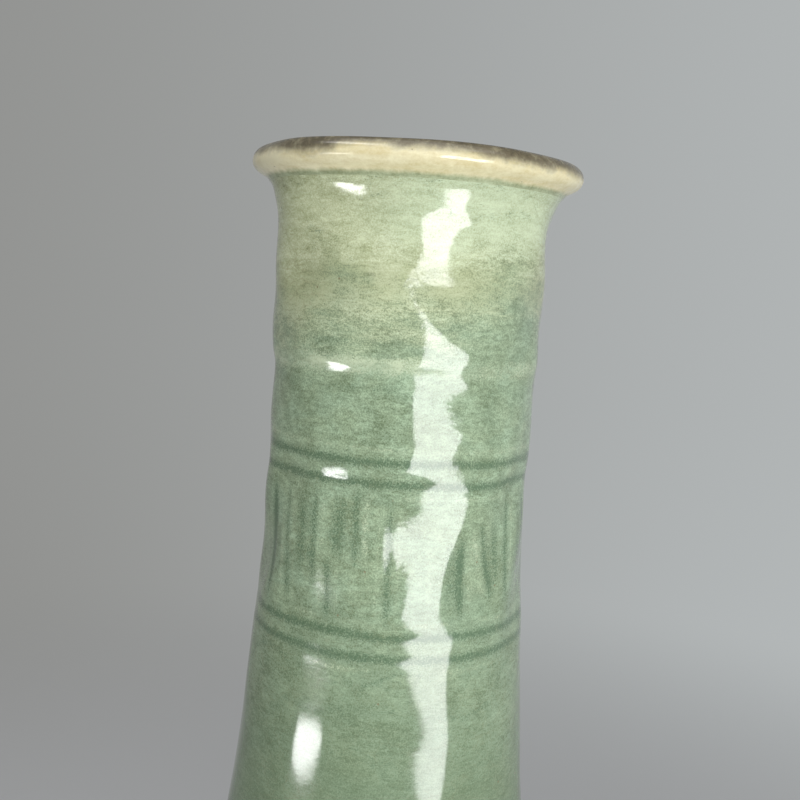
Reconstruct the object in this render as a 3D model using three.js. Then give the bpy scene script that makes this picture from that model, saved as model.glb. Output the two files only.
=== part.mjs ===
// Gall-bladder vase in crackled celadon stoneware: an everted lip, a long carved neck, a drooping belly and a ring foot.
// It is built up as a potter builds it: thrown sections with bevelled edges, luted with slip, then coated with glaze.
// Millimetres, +Z up, origin at the centre of the foot, on the surface that the vase stands on.

import * as THREE from "three";

// Heights of the finished outline, stacked upwards from the surface that the vase stands on
const FOOT_HEIGHT = 9;
const BELLY_RISE = 43; // foot to the widest point
const SHOULDER_RISE = 48; // widest point to the sloping shoulder
const NECK_ROOT_RISE = 24.5; // sloping shoulder to the root of the neck
const NECK_RISE = 75.5; // root of the neck to the throat
const COLLAR_RISE = 16; // throat to the collar, the nearly straight part below the flare
const FLARE_START_RISE = 10.2; // collar to the start of the flare
const FLARE_RISE = 4.8; // start of the flare to the underside of the lip
const LIP_EDGE_RISE = 2.7; // underside of the lip to its widest line
const LIP_CROWN_RISE = 2.1; // widest line of the lip to its crown

// Radii of the finished outline
const FOOT_RADIUS = 33.2;
const BELLY_SWELL = 19.8; // belly beyond the foot
const NECK_RADIUS = 22;
const SHOULDER_SWELL = 11.5; // sloping shoulder beyond the neck
const NECK_ROOT_SWELL = 4; // root of the neck beyond the neck
const COLLAR_SWELL = 0.4; // collar beyond the neck
const FLARE_SWELL = 0.74; // start of the flare beyond the neck
const LIP_ROOT_SWELL = 2.5; // underside of the lip beyond the neck
const LIP_OVERHANG = 5.1; // edge of the lip beyond the neck
const LIP_CROWN_SETBACK = 2.1; // crown of the lip inside its edge

// Slopes of the finished outline: outward travel for each millimetre of rise
const FOOT_SLOPE = 0.95;
const SHOULDER_SLOPE = -0.55;
const NECK_ROOT_SLOPE = -0.12;
const COLLAR_SLOPE = 0.02;
const FLARE_SLOPE = 0.2;
const LIP_ROOT_SLOPE = 0.8;
const LIP_FACE = 0.65; // how far the upright face of the lip reaches down, as a share of its underside's height

// Walls, coats and joins
const CLAY_WALL = 4; // thickness of the thrown clay
const GLAZE = 0.6; // thickness of the glaze coat
const SEAT = 0.3; // clearance kept between pieces that lie on each other
const SLIP = 0.8; // thickness of the luting slip
const BEVEL = 3; // how far the inner edge of a bevelled seam lies above its outer edge
const SEAM_RIDGE = 0.35; // height of the raised line over the seam of the mouth
const SEAM_RIDGE_WIDTH = 5;

// Places of the seams and of the carving
const MOUTH_SEAM_RISE = 1.7; // throat to the seam of the mouth
const UPPER_RINGS_DROP = 11.5; // throat to the topmost incised ring
const CARVED_BAND = 29.9; // topmost incised ring to the lowest
const NECK_SEAM_DROP = 6.6; // lowest incised ring to the seam of the neck
const RING_SPACING = 3.3; // between the two rings of a pair
const RING_WIDTH = 1.7;
const RING_CUT = 0.75; // depth of an incised ring in the clay
const FLUTE_COUNT = 18;
const FLUTE_CUT = 0.7; // depth of a carved flute in the clay
const FLUTE_MARGIN = 1.6; // ring to the end of the flutes
const FLUTE_RUNOUT = 3; // length over which a flute reaches its depth
const POOLING = 0.25; // extra glaze that gathers in the carving

// Foot and floor
const FOOT_RING_WIDTH = 5.6; // clay of the foot ring, across
const FOOT_CHAMFER = 1.2;
const GLAZE_STOP = 2.6; // height of the glaze line above the bare edge of the foot
const FLOOR = 6; // thickness of the clay floor
const FLOOR_HOLE_RADIUS = 20; // opening in the floor, at its lower edge
const FLOOR_HOLE_TAPER = 4; // how much wider the opening is at its upper edge
const COVE_RADIUS = 3.5; // floor to wall, inside
const COVE_RISE = 4.5;

// Mouth, inside
const THROAT_DEPTH = 14.4; // crown of the lip to where the bore of the neck begins
const LIP_GLAZE_DEPTH = 3.2; // crown of the lip to the inner end of the lip's glaze

// Divisions of the surfaces
const SEGMENTS = 2 * FLUTE_COUNT; // so that every other line of points is the bottom of a flute
const WALL_STEPS = [5, 4, 3, 2, 1, 1, 2]; // outside, between the stations of the outline, from the foot to the lip
const BORE_STEPS = [2, 3, 1, 1, 1, 1]; // inside, from the foot to the flare
const LIP_STEPS = 3; // along each curve of the lip
const COURSE_SPACING = 2.5; // plain heights nearer than this to a fixed one are left out
const SLIVER = 0.1; // fixed heights nearer than this to the end of a wall are left out

// Heights that follow
const BELLY_Z = FOOT_HEIGHT + BELLY_RISE;
const SHOULDER_Z = BELLY_Z + SHOULDER_RISE;
const NECK_ROOT_Z = SHOULDER_Z + NECK_ROOT_RISE;
const THROAT_Z = NECK_ROOT_Z + NECK_RISE;
const COLLAR_Z = THROAT_Z + COLLAR_RISE;
const FLARE_Z = COLLAR_Z + FLARE_START_RISE;
const LIP_ROOT_Z = FLARE_Z + FLARE_RISE;
const LIP_EDGE_Z = LIP_ROOT_Z + LIP_EDGE_RISE;
const CROWN_Z = LIP_EDGE_Z + LIP_CROWN_RISE;
const BORE_Z = CROWN_Z - THROAT_DEPTH;
const TOP_RING_Z = THROAT_Z - UPPER_RINGS_DROP;
const LOW_RING_Z = TOP_RING_Z - CARVED_BAND;
const RING_Z = [LOW_RING_Z, LOW_RING_Z + RING_SPACING, TOP_RING_Z - RING_SPACING, TOP_RING_Z];
const FLUTE_LOW_Z = RING_Z[1] + FLUTE_MARGIN;
const FLUTE_HIGH_Z = RING_Z[2] - FLUTE_MARGIN;
const MOUTH_SEAM_Z = THROAT_Z + MOUTH_SEAM_RISE;
const NECK_SEAM_Z = LOW_RING_Z - NECK_SEAM_DROP;
const FLOOR_Z = FOOT_HEIGHT + FLOOR;

// Depths below the finished surface that follow
const CLAY_DEPTH = GLAZE + SEAT;
const FINISHED_WALL = CLAY_WALL + 2 * CLAY_DEPTH;
const SEAM_GAP = SLIP + 2 * SEAT;

// Stations of the finished outside wall: height, radius and slope, joined by cubic curves
const STATIONS = [
  { z: FOOT_HEIGHT, radius: FOOT_RADIUS, slope: FOOT_SLOPE },
  { z: BELLY_Z, radius: FOOT_RADIUS + BELLY_SWELL, slope: 0 },
  { z: SHOULDER_Z, radius: NECK_RADIUS + SHOULDER_SWELL, slope: SHOULDER_SLOPE },
  { z: NECK_ROOT_Z, radius: NECK_RADIUS + NECK_ROOT_SWELL, slope: NECK_ROOT_SLOPE },
  { z: THROAT_Z, radius: NECK_RADIUS, slope: 0 },
  { z: COLLAR_Z, radius: NECK_RADIUS + COLLAR_SWELL, slope: COLLAR_SLOPE },
  { z: FLARE_Z, radius: NECK_RADIUS + FLARE_SWELL, slope: FLARE_SLOPE },
  { z: LIP_ROOT_Z, radius: NECK_RADIUS + LIP_ROOT_SWELL, slope: LIP_ROOT_SLOPE },
];

// Radius and slope of the smooth finished wall at a height.
function wallAt(z) {
  const above = STATIONS.slice(1, -1).filter((station) => station.z <= z).length;
  const low = STATIONS[above];
  const high = STATIONS[above + 1];
  const rise = high.z - low.z;
  const u = (z - low.z) / rise;
  const blend = u * u * (3 - 2 * u);
  const leave = u * (1 - u) * (1 - u);
  const arrive = u * u * (u - 1);
  const radius =
    low.radius + (high.radius - low.radius) * blend + rise * (low.slope * leave + high.slope * arrive);
  const slope =
    (6 * u * (1 - u) * (high.radius - low.radius)) / rise +
    low.slope * (1 - u) * (1 - 3 * u) +
    high.slope * u * (3 * u - 2);
  return { radius, slope };
}

// Straight-sided rise and fall: 1 at the middle, 0 half a width away.
function tent(distance, width) {
  return Math.max(0, 1 - Math.abs(distance) / (width / 2));
}

// Height of the seam's ridge less the depth of the incised rings, at a height on the wall.
function relief(z, ringCut) {
  const ridge = SEAM_RIDGE * tent(z - MOUTH_SEAM_Z, SEAM_RIDGE_WIDTH);
  const rings = RING_Z.map((ring) => ringCut * tent(z - ring, RING_WIDTH));
  return ridge - Math.max(...rings);
}

// Share of its full depth that a flute has at a height.
function fluteShare(z) {
  const fromEnd = Math.min(z - FLUTE_LOW_Z, FLUTE_HIGH_Z - z);
  return THREE.MathUtils.clamp(fromEnd / FLUTE_RUNOUT, 0, 1);
}

// A point of the outside wall, a depth below the finished surface, with the depth of the flutes there.
function outsidePoint(z, depth) {
  const { radius, slope } = wallAt(z);
  const pooled = depth > 0 ? 0 : POOLING;
  return {
    radius: radius - depth * Math.hypot(1, slope) + relief(z, RING_CUT - pooled),
    z,
    cut: (FLUTE_CUT - pooled) * fluteShare(z),
  };
}

// A point of the inside wall, a depth into the clay from the finished inner surface.
function insidePoint(z, depth) {
  const { radius, slope } = wallAt(z);
  return { radius: radius - (FINISHED_WALL - depth) * Math.hypot(1, slope), z, cut: 0 };
}

// Plain heights between the stations of the outline, with a number of steps from each to the next.
function plainCourses(steps) {
  return steps.flatMap((count, i) =>
    Array.from({ length: count }, (_, step) =>
      THREE.MathUtils.lerp(STATIONS[i].z, STATIONS[i + 1].z, step / count),
    ),
  );
}

// Heights from low to high at which a wall has points: the fixed ones, and plain ones that are clear of them.
function courses(low, high, fixed, plain) {
  const inner = fixed.filter((z) => z > low + SLIVER && z < high - SLIVER);
  const taken = [low, ...inner, high];
  const clear = (z) => taken.every((other) => Math.abs(other - z) > COURSE_SPACING);
  return taken.concat(plain.filter((z) => z > low && z < high && clear(z))).sort((a, b) => a - b);
}

// Outside wall from low to high, a depth below the finished surface.
function outsideLine(low, high, depth) {
  const half = RING_WIDTH / 2;
  const ridge = SEAM_RIDGE_WIDTH / 2;
  const carving = [
    ...RING_Z.flatMap((ring) => [ring - half, ring, ring + half]),
    ...[FLUTE_LOW_Z, FLUTE_LOW_Z + FLUTE_RUNOUT, FLUTE_HIGH_Z - FLUTE_RUNOUT, FLUTE_HIGH_Z],
    ...[MOUTH_SEAM_Z - ridge, MOUTH_SEAM_Z, MOUTH_SEAM_Z + ridge],
  ];
  return courses(low, high, carving, plainCourses(WALL_STEPS)).map((z) => outsidePoint(z, depth));
}

// Inside wall from high down to low, a depth into the clay.
function insideLine(high, low, depth) {
  const seams = [MOUTH_SEAM_Z, NECK_SEAM_Z, BELLY_Z].map((z) => z + BEVEL / 2);
  return courses(low, high, seams, plainCourses(BORE_STEPS))
    .reverse()
    .map((z) => insidePoint(z, depth));
}

// Lip of the finished outline, from its underside over the crown into the bore, as a line of points.
function lipCurves() {
  const root = new THREE.Vector2(NECK_RADIUS + LIP_ROOT_SWELL, LIP_ROOT_Z);
  const edge = new THREE.Vector2(NECK_RADIUS + LIP_OVERHANG, LIP_EDGE_Z);
  const crown = new THREE.Vector2(edge.x - LIP_CROWN_SETBACK, CROWN_Z);
  const bore = insidePoint(BORE_Z, 0);
  const lift = LIP_EDGE_RISE / 3;
  const round = 0.55; // share of a quarter curve that its handles take
  const underside = new THREE.CubicBezierCurve(
    root,
    new THREE.Vector2(root.x + LIP_ROOT_SLOPE * lift, root.y + lift),
    new THREE.Vector2(edge.x, edge.y - LIP_FACE * LIP_EDGE_RISE),
    edge,
  );
  const shoulder = new THREE.CubicBezierCurve(
    edge,
    new THREE.Vector2(edge.x, edge.y + round * LIP_CROWN_RISE),
    new THREE.Vector2(crown.x + round * LIP_CROWN_SETBACK, crown.y),
    crown,
  );
  const funnel = new THREE.CubicBezierCurve(
    crown,
    new THREE.Vector2(THREE.MathUtils.lerp(crown.x, bore.radius, round), crown.y),
    new THREE.Vector2(bore.radius, bore.z + round * THROAT_DEPTH),
    new THREE.Vector2(bore.radius, bore.z),
  );
  return { underside, shoulder, funnel };
}

// Points of a curve at shares of its length, moved a depth to the clay side, the left of its direction.
function along(curve, depth, shares) {
  return shares.map((share) => {
    const at = curve.getPoint(share);
    const run = curve.getTangent(share);
    return { radius: at.x - depth * run.y, z: at.y + depth * run.x, cut: 0 };
  });
}

// Share of the funnel curve at which it passes a height.
function funnelShareAt(z) {
  const { funnel } = lipCurves();
  let low = 0;
  let high = 1;
  while (high - low > 1e-6) {
    const middle = (low + high) / 2;
    if (funnel.getPoint(middle).y > z) low = middle;
    else high = middle;
  }
  return low;
}

// Floor and cove inside, from the cove to the axis, a depth into the clay from the finished inner surface.
function floorLine(depth) {
  const rise = CLAY_DEPTH - depth;
  const wall = insidePoint(FLOOR_Z + COVE_RISE + CLAY_DEPTH, depth);
  const corner = insidePoint(FLOOR_Z + CLAY_DEPTH, depth).radius - COVE_RADIUS;
  return [wall, { radius: corner, z: FLOOR_Z + rise, cut: 0 }, { radius: 0, z: FLOOR_Z + rise, cut: 0 }];
}

// Heights of the faces of a bevelled seam: the section below, the two faces of the slip, and the section above.
function seam(z) {
  const below = { outer: z - (BEVEL + SEAM_GAP) / 2, inner: z + (BEVEL - SEAM_GAP) / 2 };
  const lifted = (rise) => ({ outer: below.outer + rise, inner: below.inner + rise });
  return { below, slipLow: lifted(SEAT), slipHigh: lifted(SEAT + SLIP), above: lifted(SEAM_GAP) };
}

// Facets between the turn lines of a profile, each cut along the same diagonal whichever way the profile runs,
// so that walls that lie on each other keep their clearance where the flutes twist them.
function turnedFacets(profile) {
  const facets = [];
  for (let turn = 0; turn < SEGMENTS; turn += 1) {
    for (let i = 0; i < profile.length - 1; i += 1) {
      const here = turn * profile.length + i;
      const beside = here + profile.length;
      const rises = profile[i + 1].y > profile[i].y;
      if (rises) facets.push(here, beside, beside + 1, here, beside + 1, here + 1);
      else facets.push(here, beside, here + 1, beside + 1, here + 1, beside);
    }
  }
  return facets;
}

// A solid turned from a closed line of points that runs up the outside; every other turn line takes the flutes.
function turned(line) {
  const profile = line.map((p) => new THREE.Vector2(p.radius, p.z));
  const startsOnAxis = line[0].radius === 0;
  if (!startsOnAxis) profile.push(profile[0].clone());
  const geometry = new THREE.LatheGeometry(profile, SEGMENTS);
  geometry.setIndex(turnedFacets(profile));
  const position = geometry.getAttribute("position");
  for (let turn = 0; turn <= SEGMENTS; turn += 2) {
    line.forEach((point, i) => {
      if (point.cut === 0) return;
      const at = turn * profile.length + i;
      const share = (point.radius - point.cut) / point.radius;
      position.setXYZ(at, position.getX(at) * share, position.getY(at), position.getZ(at) * share);
    });
  }
  return geometry.rotateX(Math.PI / 2);
}

const glazedCeladon = { roughness: 0.12, metalness: 0 };
const FINISHES = {
  celadon: new THREE.MeshStandardMaterial({ color: 0x9ab08f, ...glazedCeladon }),
  cream: new THREE.MeshStandardMaterial({ color: 0xe6dcb8, ...glazedCeladon }),
  stoneware: new THREE.MeshStandardMaterial({ color: 0xb9aa93, roughness: 0.85, metalness: 0 }),
  burntFoot: new THREE.MeshStandardMaterial({ color: 0x9c6a47, roughness: 0.8, metalness: 0 }),
  slip: new THREE.MeshStandardMaterial({ color: 0xc9bda8, roughness: 0.9, metalness: 0 }),
};

const vase = new THREE.Group();
vase.name = "gall_bladder_vase";

function addPiece(name, line, finish) {
  const mesh = new THREE.Mesh(turned(line), FINISHES[finish]);
  mesh.name = name;
  vase.add(mesh);
}

// Clay between two heights on each side of the wall.
function claySection(low, high) {
  return [
    ...outsideLine(low.outer, high.outer, CLAY_DEPTH),
    ...insideLine(high.inner, low.inner, CLAY_DEPTH),
  ];
}

// Slip that fills a bevelled seam.
function slipRing(join) {
  return [
    outsidePoint(join.slipLow.outer, CLAY_DEPTH),
    outsidePoint(join.slipHigh.outer, CLAY_DEPTH),
    insidePoint(join.slipHigh.inner, CLAY_DEPTH),
    insidePoint(join.slipLow.inner, CLAY_DEPTH),
  ].map((p) => ({ ...p, cut: 0 }));
}

const mouthSeam = seam(MOUTH_SEAM_Z);
const neckSeam = seam(NECK_SEAM_Z);
const bellySeam = seam(BELLY_Z);
const { underside, shoulder, funnel } = lipCurves();

// Where the lip's curves have points, on the clay and on the coats alike
const lipShares = Array.from({ length: LIP_STEPS }, (_, i) => (i + 1) / LIP_STEPS);
const lipEnd = funnelShareAt(CROWN_Z - LIP_GLAZE_DEPTH);
const boreStart = funnelShareAt(CROWN_Z - LIP_GLAZE_DEPTH - SEAT);
const lipFunnelShares = [lipEnd];
const boreFunnelShares = [(boreStart + 1) / 2, 1];

// Flared mouth, from its seam to the lip
addPiece(
  "mouth_section",
  [
    ...outsideLine(mouthSeam.above.outer, LIP_ROOT_Z, CLAY_DEPTH),
    ...along(underside, CLAY_DEPTH, lipShares),
    ...along(shoulder, CLAY_DEPTH, lipShares),
    ...along(funnel, CLAY_DEPTH, [...lipFunnelShares, ...boreFunnelShares]),
    ...insideLine(BORE_Z, mouthSeam.above.inner, CLAY_DEPTH).slice(1),
  ],
  "stoneware",
);

addPiece("neck_section", claySection(neckSeam.above, mouthSeam.below), "stoneware");
addPiece("shoulder_section", claySection(bellySeam.above, neckSeam.below), "stoneware");

// Lower half of the body, with a tapered opening in its floor
const holeLow = FLOOR_HOLE_RADIUS;
const holeHigh = FLOOR_HOLE_RADIUS + FLOOR_HOLE_TAPER;
const heel = floorLine(CLAY_DEPTH);
addPiece(
  "belly_section",
  [
    ...outsideLine(FOOT_HEIGHT, bellySeam.below.outer, CLAY_DEPTH),
    ...insideLine(bellySeam.below.inner, heel[0].z, CLAY_DEPTH),
    heel[1],
    { radius: holeHigh, z: FLOOR_Z, cut: 0 },
    { radius: holeLow, z: FOOT_HEIGHT, cut: 0 },
  ],
  "stoneware",
);

addPiece("mouth_seam_slip", slipRing(mouthSeam), "slip");
addPiece("neck_seam_slip", slipRing(neckSeam), "slip");
addPiece("belly_seam_slip", slipRing(bellySeam), "slip");

// Disc that closes the floor, dropped in from inside, and the slip round it
const discEdge = (inset, z) => ({
  radius: THREE.MathUtils.mapLinear(z, FOOT_HEIGHT, FLOOR_Z, holeLow, holeHigh) - inset,
  z,
  cut: 0,
});
addPiece(
  "base_disc",
  [
    { radius: 0, z: FOOT_HEIGHT, cut: 0 },
    discEdge(SEAM_GAP, FOOT_HEIGHT),
    discEdge(SEAM_GAP, FLOOR_Z),
    { radius: 0, z: FLOOR_Z, cut: 0 },
  ],
  "stoneware",
);
addPiece(
  "base_seam_slip",
  [
    discEdge(SEAT, FOOT_HEIGHT),
    discEdge(SEAT, FLOOR_Z),
    discEdge(SEAT + SLIP, FLOOR_Z),
    discEdge(SEAT + SLIP, FOOT_HEIGHT),
  ],
  "slip",
);

// Ring foot under the floor, and the slip that holds it
const footOuter = FOOT_RADIUS - CLAY_DEPTH;
const footInner = footOuter - FOOT_RING_WIDTH;
const ring = (low, high) => [
  { radius: footOuter, z: low, cut: 0 },
  { radius: footOuter, z: high, cut: 0 },
  { radius: footInner, z: high, cut: 0 },
  { radius: footInner, z: low, cut: 0 },
];
addPiece(
  "foot_ring",
  [
    { radius: footOuter - FOOT_CHAMFER, z: 0, cut: 0 },
    { radius: footOuter, z: FOOT_CHAMFER, cut: 0 },
    ...ring(0, FOOT_HEIGHT - SEAM_GAP).slice(1),
  ],
  "burntFoot",
);
addPiece("foot_seam_slip", ring(FOOT_HEIGHT - SEAT - SLIP, FOOT_HEIGHT - SEAT), "slip");

// Celadon coat over the outside, from the glaze line on the foot to the underside of the lip
const footCoat = (depth) => ({ radius: FOOT_RADIUS - depth, z: GLAZE_STOP, cut: 0 });
const coatTop = LIP_ROOT_Z - SEAT;
addPiece(
  "outer_glaze",
  [
    footCoat(0),
    ...outsideLine(FOOT_HEIGHT, coatTop, 0),
    ...outsideLine(FOOT_HEIGHT, coatTop, GLAZE).reverse(),
    footCoat(GLAZE),
  ],
  "celadon",
);

// Cream coat round the lip
const lipCoat = (depth) => [
  ...along(underside, depth, [0, ...lipShares]),
  ...along(shoulder, depth, lipShares),
  ...along(funnel, depth, lipFunnelShares),
];
addPiece("lip_glaze", [...lipCoat(0), ...lipCoat(GLAZE).reverse()], "cream");

// Celadon coat inside, from below the lip's coat to the middle of the floor
const boreCoat = (depth) => [
  ...along(funnel, depth, [boreStart, ...boreFunnelShares]),
  ...insideLine(BORE_Z, floorLine(depth)[0].z, depth).slice(1),
  ...floorLine(depth).slice(1),
];
addPiece("inner_glaze", [...boreCoat(GLAZE).reverse(), ...boreCoat(0)], "celadon");

// Coat in the recess under the foot
addPiece(
  "base_glaze",
  [
    { radius: 0, z: FOOT_HEIGHT - CLAY_DEPTH, cut: 0 },
    { radius: footInner - SEAT, z: FOOT_HEIGHT - CLAY_DEPTH, cut: 0 },
    { radius: footInner - SEAT, z: FOOT_HEIGHT - SEAT, cut: 0 },
    { radius: 0, z: FOOT_HEIGHT - SEAT, cut: 0 },
  ],
  "celadon",
);

export default vase;
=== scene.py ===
"""Gall-bladder vase in crackled celadon: glaze coats, cream lip and bare foot, in a plain soft studio."""

import logging
import math
import random
from dataclasses import dataclass
from enum import Enum
from typing import Any, Iterable, Mapping, Sequence

import bpy
from mathutils import Matrix, Vector


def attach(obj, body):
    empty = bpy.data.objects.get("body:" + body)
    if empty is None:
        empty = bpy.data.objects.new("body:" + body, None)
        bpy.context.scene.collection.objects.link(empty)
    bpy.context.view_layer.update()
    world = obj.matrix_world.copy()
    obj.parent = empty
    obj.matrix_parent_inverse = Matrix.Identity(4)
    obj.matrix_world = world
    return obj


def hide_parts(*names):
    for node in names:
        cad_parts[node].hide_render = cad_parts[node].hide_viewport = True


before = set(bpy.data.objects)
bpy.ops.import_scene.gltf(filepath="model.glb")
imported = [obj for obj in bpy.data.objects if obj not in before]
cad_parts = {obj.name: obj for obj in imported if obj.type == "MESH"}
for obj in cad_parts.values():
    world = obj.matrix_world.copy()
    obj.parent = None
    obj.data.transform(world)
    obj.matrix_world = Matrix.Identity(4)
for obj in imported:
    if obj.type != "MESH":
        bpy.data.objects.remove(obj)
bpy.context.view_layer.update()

logging.basicConfig(level=logging.INFO, format="%(name)s: %(message)s")
log = logging.getLogger("vase")

MM = 0.001
TURN = 2.0 * math.pi
Colour = tuple[float, float, float, float]
Point = tuple[float, float]
Span = tuple[float, float]
Upright = tuple[float, float, float, float]
Settings = Mapping[str, Any] | None
Inputs = Mapping[str | int, Any] | None


def rgb(red: float, green: float, blue: float) -> Colour:
    """An opaque linear colour."""
    return (red, green, blue, 1.0)


def link(thing: bpy.types.Object) -> bpy.types.Object:
    """Put an object in the scene and hand it back."""
    bpy.context.scene.collection.objects.link(thing)
    return thing


def spread(low: float, high: float, spacing: float) -> list[float]:
    """Evenly spaced numbers from low to high, both included, about a spacing apart."""
    steps = max(1, round(abs(high - low) / spacing))
    return [low + (high - low) * i / steps for i in range(steps + 1)]


class Wire:
    """An output socket that takes part in Python expressions on values."""

    def __init__(self, board: "Board", socket: bpy.types.NodeSocket) -> None:
        """Hold a socket and the board that its node lies on."""
        self.board = board
        self.socket = socket

    def __add__(self, other: "Wire | float") -> "Wire":
        """Sum, with a number on either side."""
        return self.board.math("ADD", self, other)

    def __sub__(self, other: "Wire | float") -> "Wire":
        """Difference."""
        return self.board.math("SUBTRACT", self, other)

    def __rsub__(self, other: float) -> "Wire":
        """Difference from a number."""
        return self.board.math("SUBTRACT", other, self)

    def __mul__(self, other: "Wire | float") -> "Wire":
        """Product, with a number on either side."""
        return self.board.math("MULTIPLY", self, other)

    def __truediv__(self, other: "Wire | float") -> "Wire":
        """Quotient."""
        return self.board.math("DIVIDE", self, other)

    def __rtruediv__(self, other: float) -> "Wire":
        """Quotient of a number."""
        return self.board.math("DIVIDE", other, self)

    def __neg__(self) -> "Wire":
        """Negative."""
        return self.board.math("MULTIPLY", self, -1.0)

    __radd__ = __add__
    __rmul__ = __mul__

    def swing(self, amount: float) -> "Wire":
        """Noise about one half as a swing to both sides of nought, of an amount."""
        return (self - 0.5) * amount

    def step(self, low: "Wire | float", high: "Wire | float", start: float = 0.0, end: float = 1.0) -> "Wire":
        """Go smoothly from start to end while the value goes from low to high, which may be the lesser."""
        inputs = {0: self, 1: low, 2: high, 3: start, 4: end}
        return self.board.wire("ShaderNodeMapRange", {"interpolation_type": "SMOOTHSTEP"}, inputs)


@dataclass(frozen=True)
class Mottle:
    """Soft noise: patch width in millimetres, finer layers and their strength, curl and flattening."""

    width: float
    layers: float = 2.0
    finer: float = 0.5
    curl: float = 0.0
    flatten: float = 1.0


@dataclass(frozen=True)
class Specks:
    """Sparse specks: spacing in millimetres, soft edge in spacings, and the random draw that picks them."""

    spacing: float
    edge: Span
    draw: int
    picked: Span


class Board:
    """A node tree that is written as expressions."""

    def __init__(self, tree: bpy.types.NodeTree) -> None:
        """Start on a tree."""
        self.tree = tree

    def node(self, kind: str, settings: Settings = None, inputs: Inputs = None) -> bpy.types.Node:
        """Add a node.

        Args:
            kind: The node's type.
            settings: Its own settings, set before its sockets.
            inputs: A wire or a value for each socket, by name or number.

        Returns:
            The new node.
        """
        node = self.tree.nodes.new(kind)
        for key, value in (settings or {}).items():
            setattr(node, key, value)
        for key, value in (inputs or {}).items():
            socket = self._socket(node.inputs, key)
            if isinstance(value, Wire):
                self.tree.links.new(value.socket, socket)
            else:
                socket.default_value = value
        return node

    def out(self, node: bpy.types.Node, key: str | int = 0) -> Wire:
        """An output of a node."""
        return Wire(self, self._socket(node.outputs, key))

    def wire(self, kind: str, settings: Settings = None, inputs: Inputs = None, key: str | int = 0) -> Wire:
        """An output of a new node."""
        return self.out(self.node(kind, settings, inputs), key)

    def math(self, operation: str, *values: "Wire | float") -> Wire:
        """Maths on values."""
        return self.wire("ShaderNodeMath", {"operation": operation}, dict(enumerate(values)))

    def vector_math(self, operation: str, *values: "Wire | tuple[float, float, float]") -> Wire:
        """Maths on vectors."""
        return self.wire("ShaderNodeVectorMath", {"operation": operation}, dict(enumerate(values)))

    def scaled(self, vector: Wire, factor: "Wire | float") -> Wire:
        """A vector times a value."""
        return self.wire("ShaderNodeVectorMath", {"operation": "SCALE"}, {"Vector": vector, "Scale": factor})

    def parts(self, vector: Wire) -> tuple[Wire, Wire, Wire]:
        """The three values of a vector."""
        node = self.node("ShaderNodeSeparateXYZ", None, {0: vector})
        return self.out(node, 0), self.out(node, 1), self.out(node, 2)

    def joined(self, x: "Wire | float", y: "Wire | float", z: "Wire | float") -> Wire:
        """A vector from three values."""
        return self.wire("ShaderNodeCombineXYZ", None, {0: x, 1: y, 2: z})

    def flattened(self, vector: Wire, times: float) -> Wire:
        """A place whose height counts more, so that a pattern read there runs longer round the neck."""
        return self.vector_math("MULTIPLY", vector, (1.0, 1.0, times))

    def noise(self, vector: Wire, mottle: Mottle, key: int = 0) -> Wire:
        """Soft noise about one half, from 0 to 1.

        Args:
            vector: Where to read it.
            mottle: What it is like.
            key: 0 for one value, 1 for three in a colour.

        Returns:
            The noise.
        """
        inputs = {
            "Vector": vector if mottle.flatten == 1.0 else self.flattened(vector, mottle.flatten),
            "Scale": 1.0 / (mottle.width * MM),
            "Detail": mottle.layers,
            "Roughness": mottle.finer,
            "Distortion": mottle.curl,
        }
        return self.wire("ShaderNodeTexNoise", None, inputs, key)

    def cells(self, vector: Wire, size_mm: float, feature: str) -> bpy.types.Node:
        """Add Voronoi cells of about a size."""
        inputs = {"Vector": vector, "Scale": 1.0 / (size_mm * MM)}
        return self.node("ShaderNodeTexVoronoi", {"feature": feature}, inputs)

    def specks(self, vector: Wire, specks: Specks) -> Wire:
        """Specks in cells that are picked at random.

        Args:
            vector: Where to read them.
            specks: What they are like.

        Returns:
            1 inside a speck and 0 elsewhere.
        """
        cells = self.cells(vector, specks.spacing, "F1")
        dot = self.out(cells, "Distance").step(*specks.edge, 1.0, 0.0)
        return dot * self.parts(self.out(cells, "Color"))[specks.draw].step(*specks.picked)

    def mix(self, factor: "Wire | float", first: "Wire | Colour", second: "Wire | Colour") -> Wire:
        """Colours mixed by a factor."""
        return self.wire("ShaderNodeMix", {"data_type": "RGBA"}, {0: factor, 6: first, 7: second}, 2)

    @staticmethod
    def _socket(sockets: Sequence[bpy.types.NodeSocket], key: str | int) -> bpy.types.NodeSocket:
        """The socket of a number, or the first enabled one of a name."""
        named = (socket for socket in sockets if socket.name == key and socket.enabled)
        return sockets[key] if isinstance(key, int) else next(named)


class SurfaceBoard(Board):
    """The node tree of a new material."""

    def __init__(self, name: str) -> None:
        """Make the material and read its object coordinates, in metres.

        Args:
            name: The material's name.
        """
        self.material = bpy.data.materials.new(name)
        self.material.use_nodes = True
        super().__init__(self.material.node_tree)
        self.tree.nodes.clear()
        self.place = self.wire("ShaderNodeTexCoord", key="Object")

    def close(self, shader: Wire) -> bpy.types.Material:
        """End the tree in a shader and hand back the material."""
        self.node("ShaderNodeOutputMaterial", None, {"Surface": shader})
        return self.material


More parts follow.
